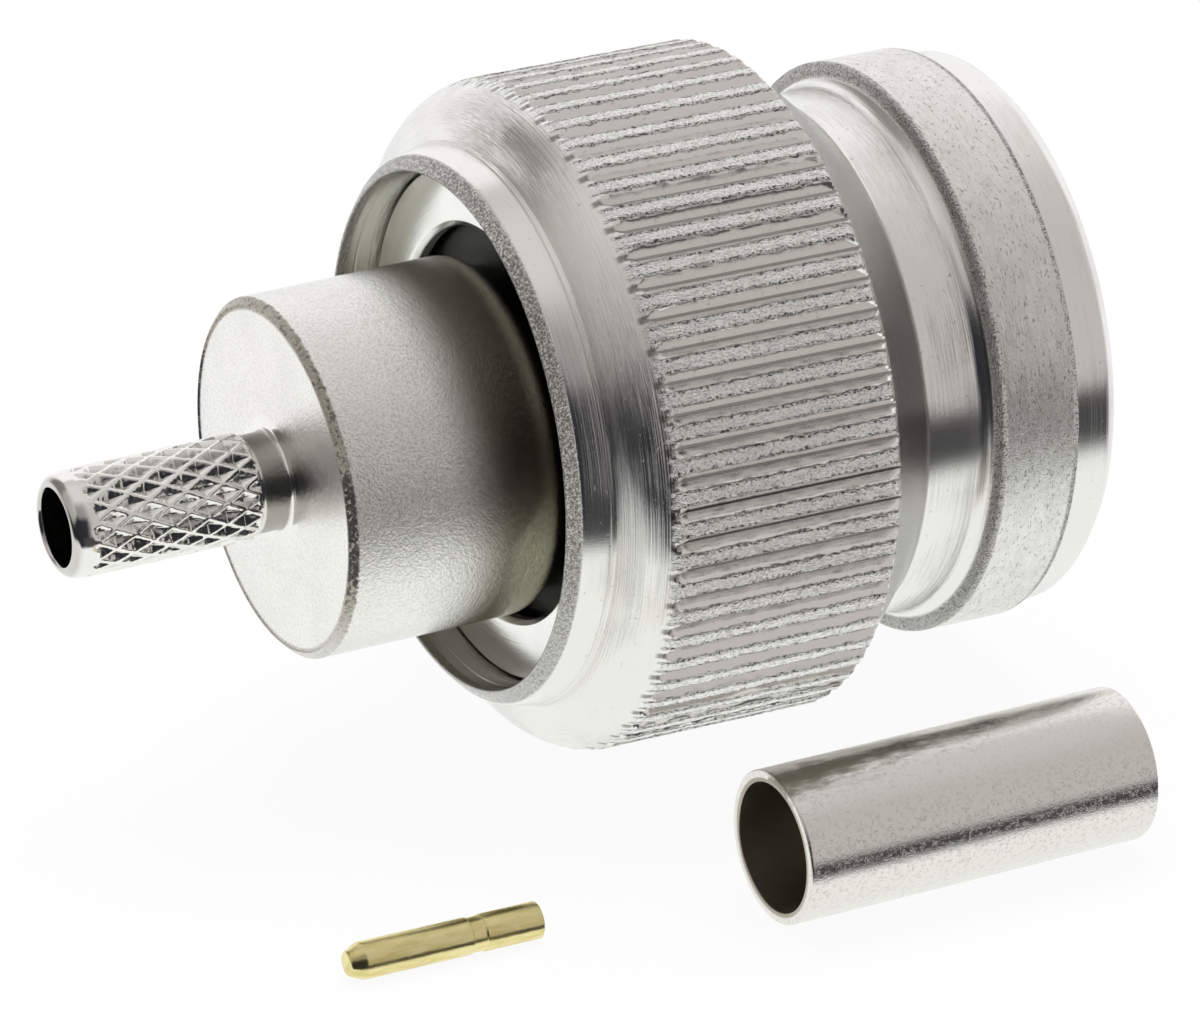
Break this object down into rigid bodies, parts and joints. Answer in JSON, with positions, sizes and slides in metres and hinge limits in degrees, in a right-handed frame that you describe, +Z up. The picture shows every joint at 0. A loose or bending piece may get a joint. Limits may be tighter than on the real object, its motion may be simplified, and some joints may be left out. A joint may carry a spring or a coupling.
{
  "type": "tnc connector",
  "caption": "Straight crimp coaxial plug with a knurled threaded coupling nut, lying on its side beside its loose centre contact and crimp ferrule.",
  "frame": {"origin": "middle of the whole set (plug, loose contact and loose ferrule) on the surface that it lies on", "axes": "+X along the plug's axis towards its mating end, +Z up; the loose pieces lie on the -Y side"},
  "size_m": [0.0228, 0.0202, 0.015],
  "materials": {
    "bright_nickel": "turned brass with bright nickel plating, fine turning marks",
    "satin_nickel": "turned brass, bead-blasted, nickel plated, satin",
    "gold_plating": "gold plating over brass, smooth",
    "white_fluoropolymer": "machined white fluoropolymer, waxy",
    "silicone": "moulded silicone rubber, matt"
  },
  "bodies": {
    "coupling": {"coupling_nut": "bright_nickel", "retaining_washer": "bright_nickel", "centre_contact": "gold_plating", "crimp_ferrule": "bright_nickel"},
    "plug": {"plug_body": "satin_nickel", "outer_contact": "bright_nickel", "insulator": "white_fluoropolymer", "gasket": "silicone"}
  },
  "joints": [
    {"name": "plug_spin", "type": "hinge", "parent": "coupling", "child": "plug", "pos_m": [0.00895, 0.00259, 0.00749], "axis": [0.9998, 0, 0.0192], "continuous": true}
  ]
}
